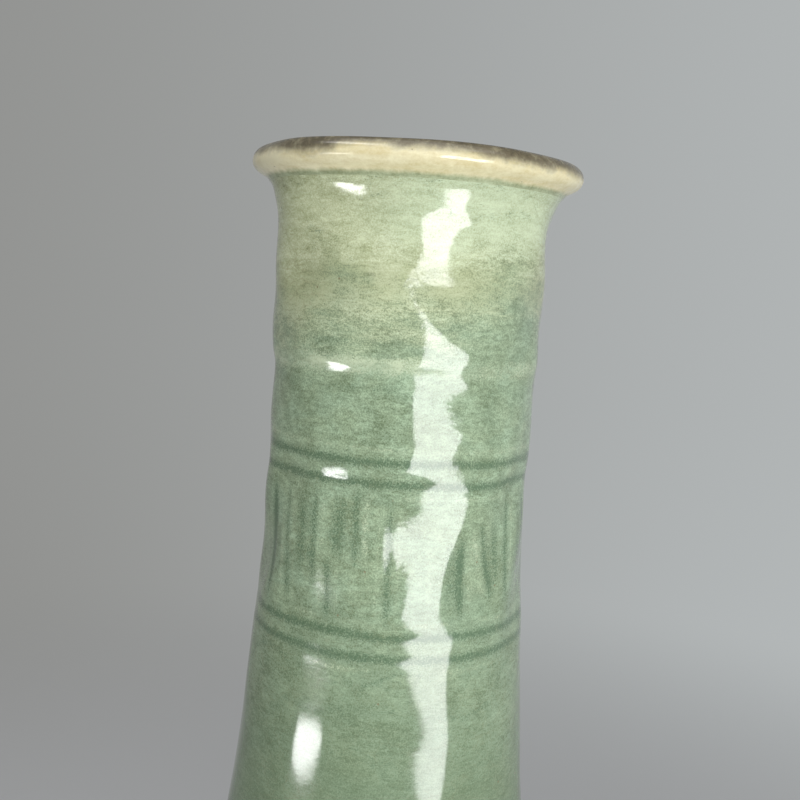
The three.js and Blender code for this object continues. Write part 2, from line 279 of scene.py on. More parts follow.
class Finish:
    """A finish of pottery: depth of its fine relief in millimetres, and index of refraction."""

    name: str
    relief_mm: float
    ior: float

    def paint(self, board: SurfaceBoard) -> tuple[Wire, Wire, Wire]:
        """Colour, roughness and height of the fine relief."""
        raise NotImplementedError

    def material(self) -> bpy.types.Material:
        """Build the material round one Principled shader.

        Returns:
            The material.
        """
        board = SurfaceBoard(self.name)
        colour, roughness, height = self.paint(board)
        bump = board.wire("ShaderNodeBump", None, {"Distance": self.relief_mm * MM, "Height": height})
        inputs = {"Base Color": colour, "Roughness": roughness, "Normal": bump, "IOR": self.ior}
        return board.close(board.wire("ShaderNodeBsdfPrincipled", None, inputs))


@dataclass(frozen=True)
class CeladonFinish(Finish):
    """Crackled celadon: sandy green, olive above the ridge, dark where it pools and pale where it is thin.

    Heights and sides are in metres from the foot and from the axis, positive to the viewer's right.
    """

    name: str = "crackled_celadon"
    relief_mm: float = 0.05
    ior: float = 1.58
    sea_light: Colour = rgb(0.375, 0.50, 0.345)
    sea_dark: Colour = rgb(0.137, 0.193, 0.110)
    moss_light: Colour = rgb(0.39, 0.502, 0.335)
    moss_dark: Colour = rgb(0.140, 0.191, 0.106)
    # The next green is painted shade, mixed in toward the bottom of the neck and the body.
    painted_shade_green: Colour = rgb(0.12, 0.172, 0.098)
    pale: Colour = rgb(0.66, 0.715, 0.475)
    olive: Colour = rgb(0.285, 0.31, 0.145)
    mint: Colour = rgb(0.56, 0.69, 0.50)
    pooled: Colour = rgb(0.086, 0.146, 0.082)
    thin: Colour = rgb(0.56, 0.645, 0.45)
    stain: Colour = rgb(0.20, 0.16, 0.08)

    cloud: Mottle = Mottle(26.0)
    patch: Mottle = Mottle(10.0, 4.0, 0.6, 0.6, 1.6)
    mottle: Mottle = Mottle(5.0, 5.0, 0.62)
    fibre: Mottle = Mottle(1.9, 4.0, 0.66, 0.9, 2.8)
    streak: Mottle = Mottle(8.0, 6.0, 0.66, 0.4, 3.2)
    grain: Mottle = Mottle(0.22, 1.0, 0.6)
    speckle: Mottle = Mottle(0.25, 1.0, 0.6)
    swell: Mottle = Mottle(2.6, 3.0)
    dimple: Mottle = Mottle(0.9)

    moss_patches: Span = (0.36, 0.64)
    # Heights and share of the painted shade that darkens the glaze toward the bottom.
    painted_shade_span: Span = (0.185, 0.125)
    painted_shade_share: float = 0.72
    mint_heights: Span = (0.215, 0.226)
    mint_sides: Span = (-0.014, 0.004)
    smoky_foot: Span = (0.2105, 0.2145)
    smoky_head: Span = (0.2195, 0.2155)
    drift_heights: Span = (0.2, 0.2155)
    drift_share: float = 0.9
    right_sides: Span = (0.0, 0.018)
    right_climb: float = 0.007
    left_sides: Span = (-0.004, -0.020)
    left_climb: float = 0.004
    calm_heights: Span = (0.157, 0.170)
    calm_ripple: float = 0.2
    full_ripple: float = 0.65

    pool_share: float = 0.92
    hair: Mottle = Mottle(6.0, 4.0, 0.62, 0.7, 3.4)
    hair_breaks: Mottle = Mottle(5.0)
    hair_width: float = 0.011
    hair_share: float = 0.55
    crackle_mm: float = 2.6
    crackle_flatten: float = 1.9
    crackle_bend: Mottle = Mottle(2.0)
    crackle_bend_mm: float = 1.6
    crack_width: float = 0.07
    pinholes: Specks = Specks(3.4, (0.03, 0.07), 0, (0.70, 0.74))
    pinhole_share: float = 0.75

    def paint(self, board: SurfaceBoard) -> tuple[Wire, Wire, Wire]:
        """Mix the colours, from the broad ones to the cracks and pinholes.

        Args:
            board: The material's board.

        Returns:
            Colour, roughness and height of the fine relief.
        """
        place = board.place
        side, _, height = board.parts(place)
        pool = board.wire("ShaderNodeAttribute", {"attribute_name": "pool"}, key="Fac")
        kinds = (self.cloud, self.patch, self.mottle, self.fibre, self.streak, self.grain)
        cloud, patch, mottle, fibre, streak, grain = (board.noise(place, kind) for kind in kinds)
        fine = fibre.swing(1.6) + grain.swing(1.6)

        moss = patch.step(*self.moss_patches)
        dark = board.mix(moss, self.sea_dark, self.moss_dark)
        light = board.mix(moss, self.sea_light, self.moss_light)
        body = board.mix(0.5 + mottle.swing(1.3) + fine, dark, light)
        # Painted shade: the glaze is mixed toward a dark green toward the bottom.
        low = (height + cloud.swing(0.03)).step(*self.painted_shade_span)
        body = board.mix(low * self.painted_shade_share, body, self.painted_shade_green)
        upper = board.mix(0.56 + streak.swing(1.5) + fine * 0.75, self.olive, self.pale)
        near_lip = (height + streak.swing(0.012)).step(*self.mint_heights) * side.step(*self.mint_sides)
        upper = board.mix(near_lip * (0.44 + fine * 0.3), upper, self.mint)
        wander = cloud.swing(0.030) + streak.swing(0.018) + mottle.swing(0.006) + fine * 0.005
        level = height + wander * 0.4
        smoky = level.step(*self.smoky_foot) * level.step(*self.smoky_head)
        upper = board.mix(smoky * (0.34 + fine * 0.3), upper, self.olive)
        climb = side.step(*self.right_sides) * self.right_climb
        climb = climb + side.step(*self.left_sides) * self.left_climb
        drift = (height + wander - climb).step(*self.drift_heights)
        colour = board.mix(drift * self.drift_share, body, upper)

        broken = pool + board.noise(place, self.speckle).swing(2.2) + fibre.swing(1.4)
        deep = broken.step(0.05, 1.25) * pool.step(0.0, 0.3)
        colour = board.mix(deep * self.pool_share, colour, self.pooled)
        bare = broken.step(0.0, -1.1) * pool.step(0.0, -0.3) * (0.25 + streak.step(0.4, 0.62) * 0.6)
        colour = board.mix(bare, colour, self.thin)
        colour = board.mix(self._hairs(board) * self.hair_share, colour, self.pooled)
        crack = self._cracks(board) * cloud.step(0.35, 0.65)
        colour = board.mix(crack * (0.10 + drift * 0.12), colour, self.stain)
        pinhole = board.specks(place, self.pinholes)
        colour = board.mix(pinhole * self.pinhole_share, colour, self.stain)

        ripple = board.noise(place, self.swell) * 0.55 + board.noise(place, self.dimple) * 0.46
        ripple = ripple * height.step(*self.calm_heights, self.calm_ripple, self.full_ripple)
        relief = ripple + grain * 0.04 - crack * 0.008 - pinhole * 0.5
        roughness = 0.06 + crack * 0.02 + mottle * 0.05
        return colour, roughness, relief

    def _hairs(self, board: SurfaceBoard) -> Wire:
        """Short hair lines that run mostly round the neck.

        Args:
            board: The material's board.

        Returns:
            1 on a line and 0 elsewhere.
        """
        level = board.noise(board.place, self.hair)
        line = board.math("ABSOLUTE", level - 0.5).step(0.0, self.hair_width, 1.0, 0.0)
        return line * board.noise(board.place, self.hair_breaks).step(0.48, 0.60)

    def _cracks(self, board: SurfaceBoard) -> Wire:
        """Net of fine cracks, longer round the neck than up it.

        Args:
            board: The material's board.

        Returns:
            1 on a crack and 0 elsewhere.
        """
        bend = board.noise(board.place, self.crackle_bend, 1)
        shift = board.scaled(board.vector_math("SUBTRACT", bend, (0.5, 0.5, 0.5)), self.crackle_bend_mm * MM)
        flat = board.flattened(board.vector_math("ADD", board.place, shift), self.crackle_flatten)
        net = board.cells(flat, self.crackle_mm, "DISTANCE_TO_EDGE")
        return board.out(net, "Distance").step(0.0, self.crack_width, 1.0, 0.0)


@dataclass(frozen=True)
class CreamFinish(Finish):
    """Thin cream glaze of the lip, burnt grey-brown round the mouth, green at its foot, with brown specks.

    Heights and sides are in metres from the foot and from the axis, positive to the viewer's right.
    """

    name: str = "cream_lip"
    relief_mm: float = 0.05
    ior: float = 1.58
    cream: Colour = rgb(0.655, 0.57, 0.32)
    ivory: Colour = rgb(0.83, 0.775, 0.53)
    burnt: Colour = rgb(0.062, 0.05, 0.03)
    ash: Colour = rgb(0.175, 0.147, 0.09)
    speck: Colour = rgb(0.10, 0.065, 0.03)
    green_light: Colour = rgb(0.51, 0.58, 0.385)
    green_dark: Colour = rgb(0.25, 0.285, 0.15)

    drip: Mottle = Mottle(4.0, 4.0, 0.65)
    cloud: Mottle = Mottle(20.0)
    streak: Mottle = Mottle(7.0, 5.0, 0.68, flatten=5.0)
    fleck: Mottle = Mottle(1.3, 3.0, 0.65)
    grain: Mottle = Mottle(0.4, 2.0, 0.7)
    swell: Mottle = Mottle(3.0, 3.0)
    specks: Specks = Specks(1.9, (0.03, 0.10), 1, (0.72, 0.78))
    speck_share: float = 0.75

    # Sides over which painted light turns the cream toward ivory on the viewer's left.
    painted_light_sides: Span = (-0.008, -0.024)
    green_heights: Span = (0.2316, 0.2308)
    # Heights of the painted shade just below the cream, under the lip.
    shade_heights: Span = (0.2300, 0.2308)
    burnt_heights: Span = (0.2335, 0.2352)
    drip_start: Span = (-0.0225, -0.018)
    drip_end: Span = (-0.010, -0.0135)
    drip_fall: float = 0.0011
    right_sides: Span = (0.002, 0.014)
    right_fall: float = 0.0006

    def paint(self, board: SurfaceBoard) -> tuple[Wire, Wire, Wire]:
        """Mix the cream, the green below it, the burnt edge above it and the specks.

        Args:
            board: The material's board.

        Returns:
            Colour, roughness and height of the fine relief.
        """
        place = board.place
        side, _, height = board.parts(place)
        kinds = (self.drip, self.cloud, self.streak, self.fleck, self.grain)
        drip, cloud, streak, fleck, grain = (board.noise(place, kind) for kind in kinds)

        tone = 0.5 + streak.swing(2.4) + drip.swing(1.2) + fleck.swing(1.0) + grain.swing(0.8)
        # Painted light: the cream is mixed toward ivory on the viewer's left side of the lip.
        colour = board.mix(tone + side.step(*self.painted_light_sides) * 0.4, self.cream, self.ivory)
        level = height + drip.swing(0.0007) + fleck.swing(0.0003)
        # Painted shade: the green just below the cream is darkened, as shade under the lip.
        shade = level.step(*self.shade_heights) * 0.3
        tint = 0.62 + streak.swing(1.6) + fleck.swing(1.0) + grain.swing(1.0) - shade
        green = board.mix(tint, self.green_dark, self.green_light)
        colour = board.mix(level.step(*self.green_heights), colour, green)

        run = side.step(*self.drip_start) * side.step(*self.drip_end) * self.drip_fall
        run = run + side.step(*self.right_sides) * self.right_fall
        wander = height + run + drip.swing(0.0024) + cloud.swing(0.0010) + fleck.swing(0.0010)
        burn = wander.step(*self.burnt_heights)
        soot = 0.35 + drip.swing(1.8) + fleck.swing(1.0) + grain.swing(1.0)
        edge = board.mix(soot, self.burnt, self.ash)
        colour = board.mix(burn * (0.94 - fleck.step(0.45, 0.75) * 0.18), colour, edge)
        speck = board.specks(place, self.specks)
        colour = board.mix(speck * self.speck_share, colour, self.speck)
        relief = board.noise(place, self.swell) * 0.8 + grain * 0.1 - speck * 0.3
        roughness = 0.07 + burn * 0.16 + grain * 0.04
        return colour, roughness, relief


@dataclass(frozen=True)
class ClayFinish(Finish):
    """Fired clay: a dull body with grit, turning marks and darker burnt patches."""

    name: str
    body: Colour
    burnt: Colour
    grit: Mottle = Mottle(0.6, 2.0, 0.7)
    cloud: Mottle = Mottle(11.0, 4.0, 0.6)
    turning: Mottle = Mottle(12.0, flatten=14.0)
    relief_mm: float = 0.12
    ior: float = 1.45

    def paint(self, board: SurfaceBoard) -> tuple[Wire, Wire, Wire]:
        """Mix the body, the burnt patches and the grit.

        Args:
            board: The material's board.

        Returns:
            Colour, roughness and height of the fine relief.
        """
        kinds = (self.cloud, self.grit, self.turning)
        cloud, grit, turning = (board.noise(board.place, kind) for kind in kinds)
        colour = board.mix(cloud.step(0.35, 0.7), self.body, self.burnt)
        colour = board.mix(grit.step(0.58, 0.75) * 0.5, colour, self.burnt)
        return colour, 0.75 + grit * 0.2, grit * 0.6 + turning * 0.4


@dataclass(frozen=True)
class Station:
    """A place on the outline that the potter fixes: height and radius in millimetres, and outward slope."""

    height: float
    radius: float
    slope: float


@dataclass(frozen=True)
class Outline:
    """Finished outline of the vase, as in the solids: a foot, a low belly, a long neck and an everted lip.

    Sizes are in millimetres, and points are radius and height.
    """

    stations: tuple[Station, ...] = (
        Station(9.0, 33.2, 0.95),
        Station(52.0, 53.0, 0.0),
        Station(100.0, 33.5, -0.55),
        Station(124.5, 26.0, -0.12),
        Station(200.0, 22.0, 0.0),
        Station(216.0, 22.4, 0.02),
        Station(226.8, 22.87, 0.27),
        Station(229.5, 23.64, 0.3),
        Station(231.0, 24.5, 0.8),
    )
    glaze_line: float = 2.6
    lip_edge: Point = (27.1, 233.7)
    lip_crown: Point = (25.0, 235.8)
    lip_face: float = 0.65
    lip_bend: float = 0.55
    bore_start: float = 221.4
    wall: float = 5.8
    floor: float = 15.9

    def at(self, height: float) -> tuple[float, float]:
        """Radius and slope of the outside wall.

        Args:
            height: Height, from the foot to the root of the lip.

        Returns:
            The radius and the outward slope.
        """
        if height < self.stations[0].height:
            return self.stations[0].radius, 0.0
        above = sum(1 for station in self.stations[1:-1] if station.height <= height)
        low, high = self.stations[above], self.stations[above + 1]
        rise = high.height - low.height
        gain = high.radius - low.radius
        u = (height - low.height) / rise
        radius = low.radius + gain * u * u * (3 - 2 * u)
        radius += rise * u * (1 - u) * (low.slope * (1 - u) - high.slope * u)
        slope = 6 * u * (1 - u) * gain / rise
        slope += low.slope * (1 - u) * (1 - 3 * u)
        slope += high.slope * u * (3 * u - 2)
        return radius, slope

    def outside(self, height: float, depth: float = 0.0) -> Point:
        """A point of the outside wall, a depth below its surface."""
        radius, slope = self.at(height)
        return radius - depth * math.hypot(1.0, slope), height

    def inside(self, height: float, depth: float = 0.0) -> Point:
        """A point of the inside wall, a depth into the wall."""
        return self.outside(height, self.wall - depth)

    def lip(self, steps: int) -> list[list[Point]]:
        """The lip's three curves: its underside, its shoulder and the funnel down into the bore.

        Args:
            steps: Points along each curve, besides its first.

        Returns:
            The points of each curve.
        """
        root = self.outside(self.stations[-1].height)
        edge, crown, bore = self.lip_edge, self.lip_crown, self.inside(self.bore_start)
        rise = edge[1] - root[1]
        lift = rise / 3
        bend = self.lip_bend
        root_lead = (root[0] + self.stations[-1].slope * lift, root[1] + lift)
        edge_below = (edge[0], edge[1] - self.lip_face * rise)
        edge_above = (edge[0], edge[1] + bend * (crown[1] - edge[1]))
        crown_outside = (crown[0] + bend * (edge[0] - crown[0]), crown[1])
        crown_inside = (crown[0] + bend * (bore[0] - crown[0]), crown[1])
        bore_lead = (bore[0], bore[1] + bend * (crown[1] - bore[1]))
        curves = (
            (root, root_lead, edge_below, edge),
            (edge, edge_above, crown_outside, crown),
            (crown, crown_inside, bore_lead, bore),
        )
        return [[self._bezier(curve, i / steps) for i in range(steps + 1)] for curve in curves]

    @staticmethod
    def _bezier(points: Sequence[Point], share: float) -> Point:
        """A point of a cubic curve.

        Args:
            points: The curve's two ends with its two leads between them.
            share: How far along it, from 0 to 1.

        Returns:
            The point.
        """
        rest = 1 - share
        weights = (rest**3, 3 * share * rest**2, 3 * share**2 * rest, share**3)
        radius = sum(weight * point[0] for weight, point in zip(weights, points))
        return radius, sum(weight * point[1] for weight, point in zip(weights, points))


@dataclass(frozen=True)
class Blade:
    """A cut's depth and half width in millimetres, how dark glaze pools in it, and the share that fades.

    On a raised line, where glaze runs off, the tint is below nought.
    """

    depth: float
    half_width: float
    tint: float
    fade: float = 0.0


@dataclass(frozen=True)
class CarvedLine:
    """A line on the wall, as places of angle in degrees and height in millimetres, and how it is cut."""

    places: tuple[Point, ...]
    blade: Blade

    def points(self, outline: Outline, spacing: float = 0.8) -> list[tuple[Vector, float]]:
        """Points along the line on the smooth wall, and how strong the cut is there.

        Args:
            outline: The wall.
            spacing: About how far apart the points are, in millimetres.

        Returns:
            Each point in metres, with 1 for the full cut and less where the line fades at its ends.
        """
        fade = self.blade.fade
        found: list[tuple[Vector, float]] = []
        for leg, ((angle_a, height_a), (angle_b, height_b)) in enumerate(zip(self.places, self.places[1:])):
            radius = outline.outside(height_a)[0]
            length = math.hypot(math.radians(angle_b - angle_a) * radius, height_b - height_a)
            count = max(2, round(length / spacing))
            for i in range(1 if leg else 0, count + 1):
                share = i / count
                angle = math.radians(angle_a + (angle_b - angle_a) * share)
                height = height_a + (height_b - height_a) * share
                radius = outline.outside(height)[0]
                place = Vector((radius * math.sin(angle), -radius * math.cos(angle), height)) * MM
                way = (leg + share) / (len(self.places) - 1)
                strength = 1.0 if fade == 0.0 else min(1.0, way / fade, (1.0 - way) / fade)
                found.append((place, strength))
        return found


@dataclass(frozen=True)
class BackRow:
    """Upright cuts round the side that faces away, at uneven steps and with uneven ends."""

    first: float
    last: float
    top: float
    low: float
    shorten: float
    lean: float
    paces: Span
    pitch: float = 16.0

    def cuts(self, draw: random.Random) -> list[Upright]:
        """Draw the cuts in order round the neck.

        Args:
            draw: Where the random numbers come from.

        Returns:
            The angles of each cut's top and low end, and then their heights.
        """
        made = []
        angle = self.first
        while angle < self.last:
            lean = draw.uniform(-self.lean, self.lean) if self.lean else 0.0
            top = self.top - draw.uniform(0, self.shorten)
            low = self.low + draw.uniform(0, self.shorten)
            made.append((angle, angle + lean, top, low))
            angle += self.pitch * draw.uniform(*self.paces)
        return made


class CutKind(Enum):
    """The two ways in which the neck is cut."""

    LINE = "incised_lines"
    FLUTE = "broad_flutes"


@dataclass(frozen=True)
class Carving:
    """Hand carving of the neck: paired rings, upright cuts between them, a ridge and faint leaves below.

    Lengths are in millimetres, and angles in degrees from the viewer's side, positive to the right.
    An upright cut is the angles of its top and low end, and then their heights.
    """

    seed: int = 7
    ring: Blade = Blade(0.025, 1.35, 1.0)
    ring_heights: tuple[float, ...] = (158.6, 161.9, 185.2, 188.5)
    ring_waver: float = 0.16
    ring_step: int = 20
    # With a tint below nought the burr beside the ridge turns dark: pooled glaze at its foot, and also
    # painted shade under the ridge.
    ridge_left: Blade = Blade(0.0, 2.35, -1.0)
    ridge_right: Blade = Blade(0.0, 2.35, -0.55)
    ridge_height: float = 203.0
    ridge_waver: float = 0.25
    ridge_step: int = 12
    ridge_drop: float = 0.42
    ridge_swell: float = 0.20
    ridge_fall: Span = (204.0, 200.8)
    ridge_runout: Span = (188.5, 199.5)
    ridge_rise: Span = (216.0, 206.0)
    ridge_bearing: float = -45.0
    ridge_focus: float = 3.0
    ridge_least: float = 0.45
    band_drop: float = 0.30
    band_top: Span = (188.4, 183.8)
    band_runout: Span = (158.0, 172.0)
    burr: float = 0.32
    burr_start: float = 0.9
    burr_crest: float = 1.45
    burr_end: float = 2.1
    stroke: Blade = Blade(0.03, 1.1, 0.8, 0.2)
    front_strokes: tuple[Upright, ...] = (
        (-62.0, -59.5, 184.0, 162.5),
        (-51.8, -45.7, 184.6, 163.0),
        (-34.2, -32.8, 184.6, 167.5),
        (-26.5, -25.0, 173.5, 163.0),
        (-15.6, -14.4, 184.8, 171.0),
        (-1.8, -1.0, 183.5, 162.5),
        (29.0, 29.6, 178.5, 163.5),
        (36.8, 46.4, 180.5, 166.0),
        (53.4, 55.4, 184.6, 164.5),
        (69.3, 72.2, 184.6, 165.5),
    )
    back_strokes: BackRow = BackRow(86.0, 286.0, 184.6, 163.0, 4.0, 4.0, (0.75, 1.25))
    flute: Blade = Blade(0.05, 2.7, 0.72, 0.3)
    front_flutes: tuple[Upright, ...] = (
        (-62.0, -60.0, 184.0, 164.0),
        (-41.0, -38.0, 184.0, 168.0),
        (-21.8, -22.8, 185.0, 171.0),
        (25.4, 25.8, 179.0, 164.0),
        (45.0, 49.0, 181.0, 166.0),
    )
    back_flutes: BackRow = BackRow(66.0, 288.0, 184.0, 163.5, 5.0, 0.0, (0.8, 1.25))
    leaf: Blade = Blade(0.004, 0.8, 0.4, 0.2)
    leaf_count: int = 6
    leaf_first: float = -44.0
    arch: tuple[Point, ...] = ((-27.0, 150.0), (-24.0, 154.2), (-12.0, 156.4), (0.0, 156.1), (10.0, 152.0))
    sag: tuple[Point, ...] = ((-4.0, 149.8), (6.0, 149.3), (18.0, 149.0), (28.5, 150.2), (29.5, 146.4))

    def cuts(self, kind: CutKind) -> list[CarvedLine]:
        """All lines of one kind."""
        return self._lines() if kind is CutKind.LINE else self._flutes()

    def _lines(self) -> list[CarvedLine]:
        """Draw the rings, the ridge over the seam, the upright strokes and the leaf lines.

        Returns:
            The lines.
        """
        draw = random.Random(self.seed)
        rings = [self._ring(height, self.ring_waver, self.ring_step, draw) for height in self.ring_heights]
        made = [CarvedLine(ring, self.ring) for ring in rings]
        ridge = self._ring(self.ridge_height, self.ridge_waver, self.ridge_step, draw)
        half = len(ridge) // 2
        made.append(CarvedLine(ridge[: half + 1], self.ridge_left))
        made.append(CarvedLine(ridge[half:], self.ridge_right))
        made += self._uprights((*self.front_strokes, *self.back_strokes.cuts(draw)), self.stroke)
        for i in range(self.leaf_count):
            middle = self.leaf_first + 360.0 / self.leaf_count * i
            for path in (self.arch, self.sag):
                made.append(CarvedLine(tuple((middle + angle, height) for angle, height in path), self.leaf))
        return made

    def _flutes(self) -> list[CarvedLine]:
        """The broad flutes between the strokes."""
        draw = random.Random(self.seed + 1)
        return self._uprights((*self.front_flutes, *self.back_flutes.cuts(draw)), self.flute)

    @staticmethod
    def _uprights(cuts: Iterable[Upright], blade: Blade) -> list[CarvedLine]:
        """Upright cuts as lines of a blade."""
        ends = (((top_angle, top), (low_angle, low)) for top_angle, low_angle, top, low in cuts)
        return [CarvedLine(places, blade) for places in ends]

    @staticmethod
    def _ring(height: float, waver: float, step: int, draw: random.Random) -> tuple[Point, ...]:
        """A ring that wavers a little, as one made by hand on the wheel does.

        Args:
            height: Its height.
            waver: How far it strays from that.
            step: Degrees between its places.
            draw: Where the random numbers come from.

        Returns:
            Its places, from behind by the left and back.
        """
        places = [(angle, height + draw.uniform(-waver, waver)) for angle in range(-180, 181, step)]
        places[-1] = (180, places[0][1])
        return tuple(places)


@dataclass(frozen=True)
class Wave:
    """One wave of the thrown wall: amplitude and rise rate in millimetres, and whole turns round the neck."""

    amplitude: float
    turns: int
    rise_rate: float
    phase: float


@dataclass(frozen=True)
class WaveKind:
    """Waves of one kind: how they are drawn, and the heights over which they come in and go out.

    Without heights they lie all over the vase. The radius is the neck's, where their slopes are counted.
    """

    seed: int
    count: int
    slopes: Span
    turns: tuple[int, int]
    lengths: Span
    come: Span = (-1.0, 0.0)
    go: Span = (300.0, 299.0)
    radius: float = 23.0

    def waves(self) -> list[Wave]:
        """Draw the waves, each by the slope that the eye sees in a reflection.

        Returns:
            The waves.
        """
        draw = random.Random(self.seed)
        made = []
        for _ in range(self.count):
            turns = draw.randint(*self.turns)
            rate = TURN / draw.uniform(*self.lengths) * draw.choice((-1, 1))
            slope = draw.uniform(*self.slopes)
            phase = draw.uniform(0.0, TURN)
            made.append(Wave(slope / math.hypot(turns / self.radius, rate), turns, rate, phase))
        return made


@dataclass(frozen=True)
class Unevenness:
    """Soft waves that the thrower's hands leave all over, and stronger ones in the throat and the carving.

    Down from the heights of the belly, the soft waves only go inwards, so that its width stays.
    """

    soft: WaveKind = WaveKind(2065, 14, (0.0051, 0.019), (3, 16), (10.0, 60.0))
    strong: tuple[WaveKind, ...] = (
        WaveKind(568867, 3, (0.02, 0.07), (3, 13), (14.0, 36.0), come=(196.0, 206.0)),
        WaveKind(5786, 3, (0.02, 0.07), (3, 13), (14.0, 36.0), come=(156.0, 166.0), go=(194.0, 186.0)),
    )
    belly: Span = (100.0, 75.0)


@dataclass(frozen=True)
class ProfilePoint:
    """A point that is turned about the axis, in millimetres, and how much of the carving it takes."""

    radius: float
    height: float
    carved: float = 0.0


class TurningTree:
    """Geometry Nodes that turn a profile about the upright axis and press waves and carved lines into it."""

    SOCKETS = {
        "Profile": "NodeSocketGeometry",
        "Columns": "NodeSocketInt",
        "Lines": "NodeSocketObject",
        "Flutes": "NodeSocketObject",
        "Wobble": "NodeSocketFloat",
        "Finish": "NodeSocketMaterial",
    }
    POINT_VALUE = {"data_type": "FLOAT", "domain": "POINT"}
    MERGE_MM = 0.002

    def __init__(self, uneven: Unevenness, carving: Carving) -> None:
        """Build the tree.

        Args:
            uneven: The waves of the thrown wall.
            carving: The steps and burrs that the carving leaves.
        """
        self.uneven = uneven
        self.carving = carving
        self.tree = bpy.data.node_groups.new("turned_and_carved", "GeometryNodeTree")
        self.board = Board(self.tree)
        sockets = self.tree.interface
        self.identifiers = {
            name: sockets.new_socket(name, in_out="INPUT", socket_type=kind).identifier
            for name, kind in self.SOCKETS.items()
        }
        sockets.new_socket("Turned", in_out="OUTPUT", socket_type="NodeSocketGeometry")
        self.given = self.board.node("NodeGroupInput")
        self.place = self.board.wire("GeometryNodeInputPosition")
        self._build()

    def turn(self, name: str, profile: Sequence[ProfilePoint], values: Mapping[str, Any]) -> bpy.types.Object:
        """Turn a profile.

        Args:
            name: The piece's name.
            profile: Its points, up the outside and down the inside.
            values: Values of the tree's named inputs, besides the profile.

        Returns:
            The piece as a plain mesh object.
        """
        mesh = bpy.data.meshes.new(name + "_profile")
        mesh.from_pydata([(p.radius * MM, 0.0, p.height * MM) for p in profile], [], [])
        carved = mesh.attributes.new("carved", "FLOAT", "POINT")
        carved.data.foreach_set("value", [p.carved for p in profile])
        source = link(bpy.data.objects.new(name + "_profile", mesh))
        modifier = source.modifiers.new("turning", "NODES")
        modifier.node_group = self.tree
        for key, value in values.items():
            modifier[self.identifiers[key]] = value
        bpy.context.view_layer.update()
        depsgraph = bpy.context.evaluated_depsgraph_get()
        turned = bpy.data.meshes.new_from_object(source.evaluated_get(depsgraph), depsgraph=depsgraph)
        turned.name = name
        source.modifiers.remove(modifier)
        bpy.data.objects.remove(source)
        bpy.data.meshes.remove(mesh)
        return link(bpy.data.objects.new(name, turned))

    def _build(self) -> None:
        """Lay out the nodes: grid, turning, carving, waves and finish."""
        board = self.board
        profile, columns, finish = (board.out(self.given, name) for name in ("Profile", "Columns", "Finish"))
        rows = board.wire("GeometryNodeAttributeDomainSize", {"component": "MESH"}, {0: profile})
        sizes = {"Size X": 1.0, "Size Y": 1.0, "Vertices X": columns + 1.0, "Vertices Y": rows}
        grid = board.wire("GeometryNodeMeshGrid", None, sizes)
        across, along, _ = board.parts(self.place)
        row = board.math("ROUND", (along + 0.5) * (rows - 1.0))
        radius, _, height = board.parts(self._sampled(profile, row, self.place, "FLOAT_VECTOR"))
        angle = across * TURN
        toward = board.joined(board.math("SINE", angle), -board.math("COSINE", angle), 0.0)
        place = board.vector_math("ADD", board.scaled(toward, radius), board.joined(0.0, 0.0, height))
        kept = self._stored(grid, "carved", self._sampled(profile, row, self._named("carved")))
        turned = board.wire("GeometryNodeSetPosition", None, {"Geometry": kept, "Position": place})
        turned = self._carved(turned)
        for kind, inputs in (
            ("GeometryNodeMergeByDistance", {"Distance": self.MERGE_MM * MM}),
            ("GeometryNodeSetShadeSmooth", {}),
            ("GeometryNodeRealizeInstances", {}),
            ("GeometryNodeSetMaterial", {"Material": finish}),
        ):
            turned = board.wire(kind, None, {"Geometry": turned, **inputs})
        board.node("NodeGroupOutput", None, {0: turned})

    def _named(self, name: str) -> Wire:
        """A value that the points carry under a name."""
        return self.board.wire("GeometryNodeInputNamedAttribute", {"data_type": "FLOAT"}, {"Name": name})

    def _sampled(self, geometry: Wire, index: Wire, value: Wire, kind: str = "FLOAT") -> Wire:
        """A value of a kind at one point of other geometry."""
        inputs = {"Geometry": geometry, "Value": value, "Index": index}
        return self.board.wire("GeometryNodeSampleIndex", {**self.POINT_VALUE, "data_type": kind}, inputs)

    def _stored(self, geometry: Wire, name: str, value: Wire) -> Wire:
        """Geometry whose points carry a value under a name."""
        inputs = {"Geometry": geometry, "Name": name, "Value": value}
        return self.board.wire("GeometryNodeStoreNamedAttribute", self.POINT_VALUE, inputs)

    def _carved(self, turned: Wire) -> Wire:
        """Press the lines, the flutes and the waves into the surface, and store where glaze pools.

        Args:
            turned: The turned surface.

        Returns:
            The carved surface.
        """
        board = self.board
        carved = self._named("carved")
        line, line_tint = self._cut("Lines")
        flute, flute_tint = self._cut("Flutes")
        waves = self._wave_depth() * board.out(self.given, "Wobble")
        depth = (line + flute + self._steps()) * carved + waves
        outward = board.vector_math("NORMALIZE", board.vector_math("MULTIPLY", self.place, (1.0, 1.0, 0.0)))
        stored = self._stored(turned, "pool", (line_tint + flute_tint) * carved)
        inputs = {"Geometry": stored, "Offset": board.scaled(outward, -depth)}
        return board.wire("GeometryNodeSetPosition", None, inputs)

    def _polar(self) -> tuple[Wire, Wire]:
        """Angle from the viewer's side, and height in millimetres."""
        x, y, z = self.board.parts(self.place)
        return self.board.math("ARCTAN2", x, -y), z / MM

    def _steps(self) -> Wire:
        """Step under the ridge, swell above it and scraped band between the rings.

        Returns:
            Their depth in metres.
        """
        cut = self.carving
        angle, height = self._polar()
        facing = self.board.math("COSINE", angle - math.radians(cut.ridge_bearing)) * 0.5 + 0.5
        focus = self.board.math("POWER", facing, cut.ridge_focus)
        strength = focus * (1.0 - cut.ridge_least) + cut.ridge_least
        fall = height.step(*cut.ridge_fall) * height.step(*cut.ridge_runout) * cut.ridge_drop
        swell = height.step(*cut.ridge_runout) * height.step(*cut.ridge_rise) * cut.ridge_swell
        band = height.step(*cut.band_top) * height.step(*cut.band_runout) * cut.band_drop
        return ((fall - swell) * strength + band) * MM

